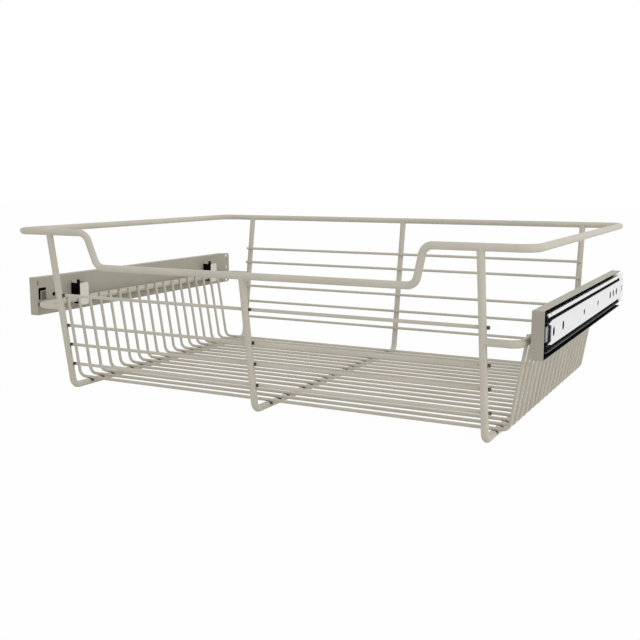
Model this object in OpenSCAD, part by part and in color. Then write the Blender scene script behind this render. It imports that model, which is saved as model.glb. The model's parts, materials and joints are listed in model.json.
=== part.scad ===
// Pull-out cabinet basket: a welded wire basket hung between two full-extension
// ball-bearing slides. Millimetres. +X to the right, +Y into the cabinet, +Z up.
// The origin is the middle of the basket on the surface its ribs stand on.

/* [Wire] */
// Diameter of the heavy frame wire: rim, ribs and side rails
frame_d = 6.4; // [5.6:0.1:7]
// Diameter of the thin grid wire
grid_d = 3.2; // [2.6:0.1:3.6]
// How far two crossing wires sink into each other at a weld
weld_sink = 0.15; // [0.1:0.01:0.2]
// How much thicker a wire is in its bends than along its runs
bend_swell = 0.1; // [0.08:0.01:0.16]

/* [Basket] */
// Width of the rim, between wire centres
rim_w = 590.2; // [584:0.1:592]
// Depth of the rim, between wire centres
rim_depth = 431.8; // [420:0.1:440]
// Height of the rim's wire centre above the floor
rim_z = 183.4; // [170:0.1:200]
// Depth of the basket at its foot, between post centres
foot_depth = 372.6; // [360:0.1:380]
// Distance from the middle rib to an outer rib
rib_pitch = 247; // [235:1:250]
// How far the front rim dips in the middle
dip_drop = 37.7; // [25:0.1:45]
// Width of the dip at the rim
dip_top_w = 390; // [370:1:400]
// Width of the dip at its bottom
dip_bottom_w = 370; // [340:1:375]
// Centre-line radius of the rim's corners
rim_bend = 16; // [12:1:20]
// Centre-line radius of the bends at the dip
dip_bend = 11; // [8:1:14]
// Centre-line radius of the ribs' foot bends
rib_bend = 10; // [8:1:14]

/* [Grid] */
// Number of thin cross wires in the floor and sides
cross_count = 18; // [12:1:18]
// Distance between cross wires
cross_pitch = 18.7; // [17:0.1:18.7]
// Centre-line radius of a cross wire's foot bends
cross_bend = 9; // [7:1:12]
// Heights of the wires across the front
front_wire_z = [110.8, 75.4, 52.8, 29.5]; // [20:0.1:130]
// How far the front level wires run past the outer ribs' centres
front_overrun = 4; // [3.2:0.1:6]
// How far the rear level wires run past the outer ribs' centres
rear_overrun = 3.2; // [3:0.1:6]

/* [Side rails] */
// Height of the side rails' centre
rail_z = 98; // [96:0.5:99]
// Distance from the middle of the basket to a side rail
rail_x = 281; // [280:0.5:281.5]
// Centre-line radius of the side rails' bends
rail_bend = 11; // [9:1:13]

/* [Slides] */
// Distance between the two cabinet walls that the slides are screwed to
opening_w = 602.4; // [602:0.1:604]
// Height of the slides' centre line
slide_z = 106.6; // [106:0.1:107.2]
// Front end of the cabinet members
member_front_y = -187; // [-188:0.5:-186]
// Rear end of the cabinet members
member_rear_y = 211; // [209:0.5:214]
// Diameter of the balls that run on the cabinet members
outer_ball_d = 2.6; // [2.4:0.1:2.6]
// Diameter of the balls that carry the drawer members
inner_ball_d = 2.4; // [2.2:0.1:2.4]
// Number of balls in one row
ball_count = 9; // [5:1:9]
// Distance between the balls of a row
ball_pitch = 20; // [16:1:20]

/* [Housings] */
// Height of a slide housing
housing_h = 44; // [43:0.1:45]
// Height of the housings' middle
housing_z = 106.2; // [106:0.1:106.8]
// Front end of the housings
housing_front_y = -196.8; // [-200:0.1:-194]
// Rear end of the housings
housing_rear_y = 210; // [206:0.5:213]
// Gap between a housing's open edge and the cabinet wall
wall_gap = 1.6; // [1.2:0.1:2]
// How much narrower a housing's top flange is than its bottom one
top_cut = 1.1; // [0.5:0.1:2]

/* [Clips] */
// Width of a hook along the side rail
hook_w = 15; // [12:0.5:15]
// Thickness of the hooks' steel
hook_t = 1.5; // [1.2:0.1:1.6]

/* [Hidden] */
// Heights of the wires across the back
rear_wire_z = [137, 116.5, 81, 58.4, 35.2];

numbered = function (stem, i) str(stem, i < 10 ? "0" : "", i);
CROSS_NODES = [for (i = [1 : cross_count]) numbered("cross_wire_", i)];
FRONT_NODES = [for (i = [1 : len(front_wire_z)]) str("front_wire_", i)];
REAR_NODES = [for (i = [1 : len(rear_wire_z)]) str("rear_wire_", i)];
SIDES = ["left", "right"];
SLIDE_NODES = [
    for (side = SIDES) each [
        str("slide_housing_", side), str("cabinet_member_", side),
        str("intermediate_member_", side), str("drawer_member_", side),
        str("outer_ball_cage_", side), str("outer_balls_", side),
        str("inner_ball_cage_", side), str("inner_balls_", side),
        str("front_hook_", side), str("rear_hook_", side),
        str("front_lock_", side), str("rear_lock_", side),
        str("end_bumper_", side)
    ]
];

paint = [0.74, 0.72, 0.67];
zinc = [0.86, 0.86, 0.87];
black = [0.09, 0.09, 0.09];
steel = [0.62, 0.63, 0.65];
round_fn = 40;
ball_fn = 48;

frame_r = frame_d / 2;
grid_r = grid_d / 2;
// Centre distance of a thin wire welded across a heavy one
weld_step = frame_r + grid_r - weld_sink;

// The front posts, the back posts and the side wires all lean out alike
lean_tan = (rim_depth - foot_depth) / 2 / rim_z;
lean_cos = 1 / sqrt(1 + lean_tan * lean_tan);
post_y = function (z) foot_depth / 2 + lean_tan * z;
rail_y = post_y(rail_z);

// Overlap left where the end of a wire is shaped to another wire
cope_lap = 0.02;
// How far a straight run reaches into the bend after it
run_in = 0.6;

// Ribs stand on the floor, and the grid lies on the ribs
rib_floor_z = (frame_d + bend_swell) / 2;
grid_floor_z = rib_floor_z + weld_step;
side_wire_top_z = rail_z + 2;
side_wire_x = function (z) rail_x - weld_step / lean_cos + lean_tan * (z - rail_z);

// Slide section: u runs from the cabinet wall towards the basket, w up from its middle
slide_h = 35;
slide_t = 11.8;
sheet = 1.1;
wall_x = opening_w / 2;
// Cabinet member: raised web, sunk groove and rolled lip, then the flange and its return
web_half = 11;
groove_u = 0.9;
groove_half = 14.6;
lip_u = 0.3;
lip_r = 2.2;
roll_lap = 0.3;
member_back_u = 1.9;
flange_u = 8.4;
return_w = 15.6;
// Intermediate member
inter_u = [3.2, 10];
inter_w = [12.6, 13.9];
inter_sheet = 1;
inter_return_u = 9.2;
inter_return_w = 11.4;
// Drawer member
drawer_u = 5.4;
drawer_w = [8.9, 10.2];
// Rows of balls, and the cages that hold them
outer_u = 5;
outer_w = 15;
inner_u = 7.2;
inner_w = 11.3;
race_gap = 0.12;
cage_t = 0.5;
cage_len = 180;
cage_front_y = -73;
cage_hole_gap = 0.1;
outer_cage_u = [2.3, 7];
inner_cage_u = [4.6, 8.9];

// Ends of the slide members along Y
inter_front_y = member_front_y + 14.5;
inter_rear_y = member_rear_y - 7.5;
tongue_len = 10;
tongue_w = [-8.2, 5.6];
drawer_front_y = -195;
drawer_rear_y = member_rear_y - 11.5;
bumper_len = 5;
bumper_u = 6.5;
bumper_half = 7;

// Holes in the cabinet member's web; each slot is given as its width and its length
screw_hole_y = [-31, 44];
screw_hole_d = 6;
front_slot_y = [-166.5, -128.5];
front_slot = [6.8, 8.6];
rear_slot_y = [120, 141, 162];
rear_slot = [7.4, 8.4];
end_slot_y = 202;
end_slot = [4.5, 8];
// Holes in the intermediate member's web, through which the cabinet member is screwed on
access_slot = [8.6, 10.4];
// Front end of the cabinet member's web: two horns beside a notch, and a gap in each lip
notch_y = -176.4;
notch_w = [-7.6, 6.6];
horn_w = 9;
horn_slope_y = 12.5;
lip_gap_y = -175.3;
lip_gap = 1.4;

// Housing section
housing_sheet = 1;
housing_out_x = wall_x - wall_gap;
housing_in_x = wall_x - slide_t - housing_sheet;
housing_z0 = housing_z - housing_h / 2;
flange_setback = 10.5;
rear_corner_r = 5;
// Holes in the housing's inner wall: hole that passes a tool, and those at the rear end
tool_hole_y = -169.7;
tool_hole_d = 5;
rear_hole_y = 202.8;
rear_hole_w = [18.4, 0.6, -18.8];
rear_hole_d = 4.8;
rear_slit = [201.5, 203.5, 116.8, 121];
// Grooves pressed into the inner wall near the front: y0, y1, z0, z1
bend_groove = [-195.8, -194, 119, 124.5];
tab_recess = [-190, -182, 101.4, 111.6];
groove_depth = 0.6;
// The notch beside the front fold: y0, y1 behind the front end, z0, z1
corner_relief = [1.2, 3.6, 95.2, 98.4];
// Hook-shaped window near the front: centre-line and width
window_path = [[-192.8, 103.6], [-192.8, 114.2], [-183.6, 114.2]];
window_w = 3.6;

// Clips hang on the side rails between two neighbouring side wires
clip_y = function (gap) (gap - cross_count / 2) * cross_pitch;
front_clip_y = clip_y(2);
rear_clip_y = clip_y(cross_count - 1);
hook_base_z = 90;
hook_tab_z = 117;
hook_back_z = 116.4;
hook_tab_x = 276;
hook_run = housing_in_x - hook_tab_x;
hook_round = 3;
// The ear that stands up at the front of a hook's back
ear_reach = 9.4;
ear_z = [101.8, 120.4];
// The lock's shoulder stands in front of the ear, above the side wires, with a nib on it
lock_play = 1;
lock_top_z = 116.6;
shoulder_y = 9.5;
shoulder_z = 101.6;
nib_w = 3;
nib_z = 121.2;
slit_h = 0.8;
rivet_d = 3.2;
rivet_rise = 4.5;
rivet_hole_d = 3.4;
rivet_head = [6, 1.1];
rivet_tail = [4.8, 0.9];
head_room = 6.6;

// ---- wire -----------------------------------------------------------------

unit = function (v) v / norm(v);
turn_between = function (a, b) acos(max(-1, min(1, a * b)));

// A straight rod between two points
module rod(a, b, d) {
    v = b - a;
    translate(a)
        rotate([0, acos(v[2] / norm(v)), atan2(v[1], v[0])])
            cylinder(h = norm(v), d = d, $fn = round_fn);
}

// A round bend at corner p, from direction a into direction b
module elbow(p, a, b, bend, d) {
    turn = turn_between(a, b);
    centre = p + unit(b - a) * bend / cos(turn / 2);
    start = p - a * bend * tan(turn / 2);
    x = (start - centre) / bend;
    n = cross(x, a);
    multmatrix([[x[0], a[0], n[0], centre[0]],
                [x[1], a[1], n[1], centre[1]],
                [x[2], a[2], n[2], centre[2]]])
        rotate_extrude(angle = turn, $fn = 4 * round_fn)
            translate([bend, 0]) circle(d = d, $fn = round_fn);
}

// One length of wire through the points, with a round bend at each corner
module bent_wire(points, bends, d, closed = false) {
    n = len(points);
    runs = closed ? n : n - 1;
    dirs = [for (i = [0 : runs - 1]) unit(points[(i + 1) % n] - points[i])];
    is_end = function (i) !closed && (i == 0 || i == n - 1);
    before = function (i) dirs[(i + n - 1) % n];
    trim = function (i)
        is_end(i) ? 0 : bends[i] * tan(turn_between(before(i), dirs[i]) / 2) - run_in;
    for (i = [0 : runs - 1]) {
        j = (i + 1) % n;
        rod(points[i] + dirs[i] * trim(i), points[j] - dirs[i] * trim(j), d);
    }
    for (i = [0 : n - 1])
        if (!is_end(i)) elbow(points[i], before(i), dirs[i], bends[i], d + bend_swell);
}

// The rim: a closed loop that dips across the front, in the plane of the posts
module rim() {
    x = rim_w / 2;
    y = rim_depth / 2;
    dip_z = rim_z - dip_drop;
    points = [
        [-x, y, rim_z], [x, y, rim_z], [x, -y, rim_z],
        [dip_top_w / 2, -y, rim_z], [dip_bottom_w / 2, -post_y(dip_z), dip_z],
        [-dip_bottom_w / 2, -post_y(dip_z), dip_z], [-dip_top_w / 2, -y, rim_z],
        [-x, -y, rim_z]
    ];
    bends = [rim_bend, rim_bend, rim_bend, dip_bend, dip_bend, dip_bend, dip_bend, rim_bend];
    color(paint) bent_wire(points, bends, frame_d, closed = true);
}

// A rib: up the front, under the floor and up the back; its ends are coped to the rim
module rib(x, front_z) {
    foot_y = post_y(rib_floor_z);
    color(paint) difference() {
        bent_wire([
            [x, -post_y(front_z), front_z], [x, -foot_y, rib_floor_z],
            [x, foot_y, rib_floor_z], [x, post_y(rim_z), rim_z]
        ], [0, rib_bend, rib_bend, 0], frame_d);
        cope([x, -post_y(front_z), front_z]);
        cope([x, post_y(rim_z), rim_z]);
    }
}

// Takes the shape of the rim's bar, and all above it, off the end of a post
module cope(p) {
    reach = 2 * frame_d;
    translate(p) rotate([0, 90, 0])
        cylinder(d = frame_d - 2 * cope_lap, h = 2 * reach, center = true, $fn = round_fn);
    translate(p - [reach, reach, 0]) cube([2 * reach, 2 * reach, reach]);
}

// A side rail: a U in plan from the front post to the back post of an outer rib
module side_rail(side) {
    reach = 4 * frame_d;
    on_side(side) color(paint) difference() {
        bent_wire([
            [rib_pitch, -rail_y, rail_z], [rail_x, -rail_y, rail_z],
            [rail_x, rail_y, rail_z], [rib_pitch, rail_y, rail_z]
        ], [0, rail_bend, rail_bend, 0], frame_d);
        for (s = [-1, 1])
            rod([rib_pitch, s * post_y(rail_z - reach), rail_z - reach],
                [rib_pitch, s * post_y(rail_z + reach), rail_z + reach],
                frame_d - 2 * cope_lap);
    }
}

// A cross wire: up one side to its rail, across the floor and up the other side
module cross_wire(i) {
    y = (i - (cross_count + 1) / 2) * cross_pitch;
    top_x = side_wire_x(side_wire_top_z);
    foot_x = side_wire_x(grid_floor_z);
    color(paint) bent_wire([
        [-top_x, y, side_wire_top_z], [-foot_x, y, grid_floor_z],
        [foot_x, y, grid_floor_z], [top_x, y, side_wire_top_z]
    ], [0, cross_bend, cross_bend, 0], grid_d);
}

// A level wire across the inside of the posts; facing is -1 at the front, 1 at the back
module level_wire(z, facing) {
    y = facing * (post_y(z) - weld_step / lean_cos);
    half = rib_pitch + (facing < 0 ? front_overrun : rear_overrun);
    color(paint) rod([-half, y, z], [half, y, z], grid_d);
}

// ---- slides ---------------------------------------------------------------

// Places a right-hand piece on either side
module on_side(side) {
    if (side == "right") children();
    else mirror([1, 0, 0]) children();
}

// Extrudes a slide section (u, w) along the slide
module slide_run(y0, y1) {
    translate([wall_x, y0, slide_z]) rotate([90, 0, 180])
        linear_extrude(height = y1 - y0) children();
}

// A rectangle of a slide section, and its mirror image below the middle
module both_edges(u0, u1, w0, w1) {
    for (w = [w0, -w1])
        translate([u0, w]) square([u1 - u0, w1 - w0]);
}

// The grooves that two rows of balls leave in a slide section
module race(u, w, d) {
    for (s = [-1, 1])
        translate([u, s * w]) circle(d = d + 2 * race_gap, $fn = round_fn);
}

// A hole across a slide's web, at y and at height w, from the wall as far as u
module web_hole(y, w, d, u) {
    translate([wall_x + 1, y, slide_z + w]) rotate([0, -90, 0])
        cylinder(d = d, h = u + 1, $fn = round_fn);
}

// An upright slot in a slide's web; size is its width and its length
module web_slot(y, size, u) {
    rise = (size[1] - size[0]) / 2;
    for (s = [-1, 1]) web_hole(y, s * rise, size[0], u);
    translate([wall_x - u, y - size[0] / 2, slide_z - rise])
        cube([u + 1, size[0], 2 * rise]);
}

// The holes of every web that lies over the cabinet member's slots
module slots(front, rear, u) {
    for (y = front_slot_y) web_slot(y, front, u);
    for (y = rear_slot_y) web_slot(y, rear, u);
}

// The rolled outer corner of the cabinet member, above (s = 1) or below (s = -1)
module rolled_lip(s) {
    side = lip_r + roll_lap;
    translate([lip_u + lip_r, s * (slide_h / 2 - lip_r)]) intersection() {
        difference() {
            circle(r = lip_r, $fn = round_fn);
            circle(r = lip_r - sheet, $fn = round_fn);
        }
        translate([-lip_r, s > 0 ? -roll_lap : -lip_r]) square(side);
    }
}

// The cabinet member: raised web, sunk grooves, and flanges that hold the outer balls
module cabinet_member(side) {
    on_side(side) color(zinc) difference() {
        slide_run(member_front_y, member_rear_y) difference() {
            union() {
                translate([0, -web_half]) square([sheet, 2 * web_half]);
                both_edges(groove_u, member_back_u, web_half - sheet, groove_half + sheet);
                both_edges(lip_u, member_back_u, groove_half, slide_h / 2 - lip_r);
                both_edges(lip_u + lip_r, flange_u, slide_h / 2 - sheet, slide_h / 2);
                both_edges(flange_u - sheet, flange_u, return_w, slide_h / 2);
                for (s = [-1, 1]) rolled_lip(s);
            }
            race(outer_u, outer_w, outer_ball_d);
        }
        for (y = screw_hole_y) web_hole(y, 0, screw_hole_d, member_back_u + 1);
        slots(front_slot, rear_slot, member_back_u + 1);
        web_slot(end_slot_y, end_slot, member_back_u + 1);
        member_nose();
    }
}

// What is cut from the cabinet member's front end: the notch between the horns, the
// slopes outside them and the gaps in the lips
module member_nose() {
    front = member_front_y;
    translate([wall_x - member_back_u - cope_lap, 0, slide_z]) {
        rotate([90, 0, 90]) linear_extrude(height = member_back_u + 1) {
            polygon([[front - 1, -horn_w], [front, -horn_w], [notch_y, notch_w[0]],
                     [notch_y, notch_w[1]], [front, horn_w], [front - 1, horn_w]]);
            for (s = [-1, 1])
                polygon([[front - 1, s * web_half], [front - 1, s * (horn_w + cope_lap)],
                         [front, s * (horn_w + cope_lap)], [front + horn_slope_y, s * web_half]]);
        }
        for (w = [groove_half, -slide_h / 2 - 1])
            translate([0, lip_gap_y, w])
                cube([member_back_u + 1, lip_gap, slide_h / 2 + 1 - groove_half]);
    }
}

// The intermediate member: outer races on its flanges, inner races under them
module intermediate_member(side) {
    on_side(side) color(zinc) difference() {
        union() {
            slide_run(inter_front_y, inter_rear_y) difference() {
                union() {
                    translate([inter_u[0], -inter_w[1]]) square([inter_sheet, 2 * inter_w[1]]);
                    both_edges(inter_u[0], inter_u[1], inter_w[0], inter_w[1]);
                    both_edges(inter_return_u, inter_u[1], inter_return_w, inter_w[1]);
                }
                race(outer_u, outer_w, outer_ball_d);
            }
            slide_run(inter_front_y - tongue_len, inter_front_y + 1)
                translate([inter_u[0], tongue_w[0]])
                    square([inter_sheet, tongue_w[1] - tongue_w[0]]);
        }
        slots(access_slot, access_slot, inter_u[0] + inter_sheet + 1);
    }
}

// The drawer member: a shallow channel with the inner races on its flanges
module drawer_member(side) {
    on_side(side) color(zinc) difference() {
        slide_run(drawer_front_y, drawer_rear_y) difference() {
            union() {
                translate([slide_t - sheet, -drawer_w[1]]) square([sheet, 2 * drawer_w[1]]);
                both_edges(drawer_u, slide_t, drawer_w[0], drawer_w[1]);
            }
            race(inner_u, inner_w, inner_ball_d);
        }
        rivet_holes();
        side_hole(tool_hole_y, slide_z, tool_hole_d + 1);
    }
}

// A cage of thin sheet behind the balls of both rows, with a hole for each ball
module ball_cage(span_u, row_u, row_w, ball_d) {
    difference() {
        slide_run(cage_front_y, cage_front_y + cage_len) {
            translate([span_u[0], -row_w - cage_t / 2])
                square([cage_t, 2 * row_w + cage_t]);
            both_edges(span_u[0], span_u[1], row_w - cage_t / 2, row_w + cage_t / 2);
        }
        for (i = [0 : ball_count - 1])
            translate([wall_x - row_u, ball_y(i), slide_z])
                cylinder(d = ball_d + cage_hole_gap, h = 2 * (row_w + ball_d),
                         center = true, $fn = round_fn);
    }
}

ball_y = function (i)
    cage_front_y + cage_len / 2 + (i - (ball_count - 1) / 2) * ball_pitch;

module ball_rows(row_u, row_w, ball_d) {
    for (i = [0 : ball_count - 1], s = [-1, 1])
        translate([wall_x - row_u, ball_y(i), slide_z + s * row_w])
            sphere(d = ball_d, $fn = ball_fn);
}

module outer_ball_cage(side) {
    on_side(side) color(steel) ball_cage(outer_cage_u, outer_u, outer_w, outer_ball_d);
}

module outer_balls(side) {
    on_side(side) color(steel) ball_rows(outer_u, outer_w, outer_ball_d);
}

module inner_ball_cage(side) {
    on_side(side) color(black) ball_cage(inner_cage_u, inner_u, inner_w, inner_ball_d);
}

module inner_balls(side) {
    on_side(side) color(steel) ball_rows(inner_u, inner_w, inner_ball_d);
}

// The stop that the intermediate member meets when the basket is pushed home
module end_bumper(side) {
    on_side(side) color(black)
        slide_run(member_rear_y - bumper_len, member_rear_y)
            translate([sheet, -bumper_half]) square([bumper_u - sheet, 2 * bumper_half]);
}

// ---- housings and clips -----------------------------------------------------

// A round hole through the housing's inner wall, at y and z
module side_hole(y, z, d) {
    translate([housing_in_x - 1, y, z]) rotate([0, 90, 0])
        cylinder(d = d, h = 6, $fn = round_fn);
}

// A box-shaped cut into the housing's inner wall; span is y0, y1, z0, z1
module side_window(span, depth = 2 * housing_sheet) {
    translate([housing_in_x - 1, span[0], span[2]])
        cube([depth + 1, span[1] - span[0], span[3] - span[2]]);
}

module rivet_holes() {
    for (y = [front_clip_y, rear_clip_y], s = [-1, 1])
        side_hole(y, slide_z + s * rivet_rise, rivet_hole_d);
}

// The housing: a folded channel, open to the cabinet wall, with a closed front end
module slide_housing(side) {
    depth = housing_out_x - housing_in_x;
    length = housing_rear_y - housing_front_y;
    inner_z0 = housing_z0 + housing_sheet;
    inner_h = housing_h - 2 * housing_sheet;
    on_side(side) color(paint) difference() {
        translate([housing_in_x, housing_front_y, housing_z0])
            cube([depth, length, housing_h]);
        // the channel's hollow, behind the closed front end
        translate([housing_in_x + housing_sheet, housing_front_y + housing_sheet, inner_z0])
            cube([depth, length, inner_h]);
        // the flanges stop short of the rear end
        translate([housing_in_x + housing_sheet, housing_rear_y - flange_setback, housing_z0 - 1])
            cube([depth, 2 * flange_setback, housing_h + 2]);
        for (s = [-1, 1]) rear_corner(s);
        rivet_holes();
        hook_window();
        side_hole(tool_hole_y, slide_z, tool_hole_d);
        for (w = rear_hole_w) side_hole(rear_hole_y, housing_z + w, rear_hole_d);
        for (span = [bend_groove, tab_recess, rear_slit]) side_window(span, groove_depth);
        side_window([housing_front_y + corner_relief[0], housing_front_y + corner_relief[1],
                     corner_relief[2], corner_relief[3]]);
        // the top flange is the narrower one
        translate([housing_out_x - top_cut, housing_front_y + housing_sheet,
                   housing_z0 + housing_h - 2 * housing_sheet])
            cube([2 * top_cut, length, 3 * housing_sheet]);
    }
}

// Rounds a rear corner of the housing's inner wall
module rear_corner(s) {
    r = rear_corner_r;
    z = housing_z + s * (housing_h / 2 - r);
    translate([housing_in_x - 1, housing_rear_y - r, z]) difference() {
        translate([0, 0, s > 0 ? 0 : -2 * r]) cube([3 * housing_sheet, 2 * r, 2 * r]);
        rotate([0, 90, 0]) cylinder(r = r, h = 3 * housing_sheet, $fn = round_fn);
    }
}

// The hook-shaped window near the housing's front
module hook_window() {
    half = window_w / 2;
    for (p = window_path) side_hole(p[0], p[1], window_w);
    low = window_path[0];
    bend = window_path[1];
    tip = window_path[2];
    side_window([low[0] - half, low[0] + half, low[1], bend[1]]);
    side_window([bend[0], tip[0], bend[1] - half, bend[1] + half]);
}

// A steel hook: riveted to the housing, under the rail and up inside the basket
module hook(y) {
    inner_w = hook_w - 2 * hook_round;
    translate([hook_tab_x, y, 0]) difference() {
        union() {
            hook_tab();
            translate([0, -inner_w / 2, hook_base_z]) cube([hook_run, inner_w, hook_t]);
            translate([hook_run - hook_t, -hook_w / 2, hook_base_z])
                cube([hook_t, hook_w, hook_back_z - hook_base_z]);
            hook_ear();
        }
        for (s = [-1, 1])
            translate([hook_run - 2 * hook_t, 0, slide_z + s * rivet_rise])
                rotate([0, 90, 0])
                    cylinder(d = rivet_hole_d, h = 4 * hook_t, $fn = round_fn);
    }
}

// The hook's tab inside the basket, with round corners
module hook_tab() {
    r = hook_round;
    tab_h = hook_tab_z - hook_base_z;
    translate([0, -hook_w / 2, hook_base_z]) {
        translate([0, r, 0]) cube([hook_t, hook_w - 2 * r, tab_h]);
        translate([0, 0, r]) cube([hook_t, hook_w, tab_h - 2 * r]);
        for (y = [r, hook_w - r], z = [r, tab_h - r])
            translate([0, y, z]) rotate([0, 90, 0])
                cylinder(r = r, h = hook_t, $fn = round_fn);
    }
}

// The ear at the front of the hook's back, square to the rail
module hook_ear() {
    translate([hook_run - ear_reach, -hook_w / 2, ear_z[0]])
        cube([ear_reach, hook_t, ear_z[1] - ear_z[0]]);
}

// A plastic lock: fills the hook round the rail, with a shoulder in front of the ear
module lock(y) {
    w = hook_w - lock_play;
    z0 = hook_base_z + hook_t;
    tall = lock_top_z - shoulder_z;
    ear_x = hook_run - ear_reach;
    back_x = hook_run - hook_t;
    translate([hook_tab_x, y, 0]) difference() {
        union() {
            translate([hook_t, -w / 2, z0]) cube([back_x - hook_t, w, lock_top_z - z0]);
            translate([0, -shoulder_y, shoulder_z])
                cube([hook_run, shoulder_y - hook_w / 2, tall]);
            translate([hook_t, -shoulder_y, shoulder_z])
                cube([ear_x - hook_t, shoulder_y, tall]);
            translate([0, -shoulder_y, lock_top_z - 1])
                cube([nib_w, shoulder_y - hook_w / 2, nib_z - lock_top_z + 1]);
        }
        hook_ear();
        // the rail's seat
        translate([rail_x - hook_tab_x, -hook_w, rail_z]) rotate([-90, 0, 0])
            cylinder(d = frame_d, h = 2 * hook_w, $fn = round_fn);
        // the slit that lets the lock spring over the rail
        translate([0, -hook_w, rail_z - slit_h / 2])
            cube([rail_x - hook_tab_x, 2 * hook_w, slit_h]);
        // room for the rivet heads
        for (s = [-1, 1])
            translate([back_x - rivet_head[1] - cope_lap, 0, slide_z + s * rivet_rise])
                rotate([0, 90, 0])
                    cylinder(d = head_room, h = 2 * rivet_head[1], $fn = round_fn);
    }
}

// A rivet that joins hook, housing and drawer member
module rivet(y, w) {
    head_x = housing_in_x - hook_t;
    tail_x = housing_in_x + housing_sheet + sheet;
    translate([0, y, slide_z + w]) rotate([0, 90, 0]) {
        translate([0, 0, head_x - rivet_head[1]])
            cylinder(d = rivet_head[0], h = rivet_head[1], $fn = round_fn);
        translate([0, 0, head_x]) cylinder(d = rivet_d, h = tail_x - head_x, $fn = round_fn);
        translate([0, 0, tail_x])
            cylinder(d = rivet_tail[0], h = rivet_tail[1], $fn = round_fn);
    }
}

module hook_rivets() {
    color(steel)
        for (side = SIDES) on_side(side)
            for (y = [front_clip_y, rear_clip_y], s = [-1, 1]) rivet(y, s * rivet_rise);
}

module front_hook(side) { on_side(side) color(paint) hook(front_clip_y); }
module rear_hook(side) { on_side(side) color(paint) hook(rear_clip_y); }
module front_lock(side) { on_side(side) color(black) lock(front_clip_y); }
module rear_lock(side) { on_side(side) color(black) lock(rear_clip_y); }

// ---- the object -------------------------------------------------------------

rim();
rib(-rib_pitch, rim_z);  // rib_left
rib(0, rim_z - dip_drop);  // rib_middle
rib(rib_pitch, rim_z);  // rib_right
for (i = [1 : cross_count])
    cross_wire(i);
for (i = [1 : len(front_wire_z)])
    level_wire(front_wire_z[i - 1], -1);
for (i = [1 : len(rear_wire_z)])
    level_wire(rear_wire_z[i - 1], 1);
for (side = SIDES) {
    side_rail(side);
    slide_housing(side);
    cabinet_member(side);
    intermediate_member(side);
    drawer_member(side);
    outer_ball_cage(side);
    outer_balls(side);
    inner_ball_cage(side);
    inner_balls(side);
    front_hook(side);
    rear_hook(side);
    front_lock(side);
    rear_lock(side);
    end_bumper(side);
}
hook_rivets();
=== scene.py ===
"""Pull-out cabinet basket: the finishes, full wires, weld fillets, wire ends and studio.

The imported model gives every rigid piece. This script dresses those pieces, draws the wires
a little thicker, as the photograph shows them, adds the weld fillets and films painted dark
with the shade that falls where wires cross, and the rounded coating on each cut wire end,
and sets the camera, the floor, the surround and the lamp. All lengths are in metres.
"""

import json
import logging
import math
from dataclasses import dataclass, field
from enum import Enum

import bpy
import numpy as np
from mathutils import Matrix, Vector


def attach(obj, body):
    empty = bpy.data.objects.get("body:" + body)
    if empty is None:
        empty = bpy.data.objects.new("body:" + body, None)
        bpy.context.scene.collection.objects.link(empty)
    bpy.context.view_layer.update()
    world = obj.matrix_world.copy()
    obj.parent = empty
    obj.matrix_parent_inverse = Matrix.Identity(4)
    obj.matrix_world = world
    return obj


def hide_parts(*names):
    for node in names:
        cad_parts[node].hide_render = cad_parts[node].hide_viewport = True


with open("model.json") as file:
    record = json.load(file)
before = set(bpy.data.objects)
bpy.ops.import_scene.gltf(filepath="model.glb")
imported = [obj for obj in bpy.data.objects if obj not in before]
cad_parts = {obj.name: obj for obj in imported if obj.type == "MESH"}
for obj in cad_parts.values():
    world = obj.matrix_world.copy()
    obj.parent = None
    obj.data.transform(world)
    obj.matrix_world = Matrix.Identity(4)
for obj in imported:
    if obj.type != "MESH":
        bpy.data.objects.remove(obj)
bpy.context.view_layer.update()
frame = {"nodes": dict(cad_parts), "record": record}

log = logging.getLogger("pull_out_basket")
MM = 0.001
TINY = 1e-6


class Side(Enum):
    """The two sides of the basket, with the sign of their X."""

    LEFT = -1
    RIGHT = 1


class Facing(Enum):
    """The two upright walls of level wires, with the sign of their Y."""

    FRONT = -1
    REAR = 1


# ---- surfaces ---------------------------------------------------------------


def unit(v: np.ndarray) -> np.ndarray:
    """Scales each vector to length 1.

    Args:
        v: vectors, shape (..., 3).

    Returns:
        v / |v|, of the same shape.
    """
    return v / np.linalg.norm(v, axis=-1, keepdims=True)


def tube_faces(rows: int, cols: int) -> np.ndarray:
    """Quads of a grid of rows by cols points whose columns close on themselves.

    Args:
        rows: points along the surface.
        cols: points round it.

    Returns:
        Indices, shape ((rows - 1) * cols, 4), with corner (i, j) at i * cols + j.
    """
    i, j = np.meshgrid(np.arange(rows - 1), np.arange(cols), indexing="ij")
    k = (j + 1) % cols
    quads = np.stack([i * cols + j, i * cols + k, (i + 1) * cols + k, (i + 1) * cols + j], -1)
    return quads.reshape(-1, 4)


def smooth_object(name: str, points: np.ndarray, faces: list) -> bpy.types.Object:
    """Makes a smooth shaded object and links it to the scene.

    Args:
        name: the object's name.
        points: shape (n, 3), in metres.
        faces: the indices of each face's points.

    Returns:
        The new object.
    """
    mesh = bpy.data.meshes.new(name)
    mesh.from_pydata(points.tolist(), [], faces)
    mesh.polygons.foreach_set("use_smooth", np.ones(len(mesh.polygons), dtype=bool))
    mesh.update()
    obj = bpy.data.objects.new(name, mesh)
    bpy.context.scene.collection.objects.link(obj)
    return obj


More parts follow.
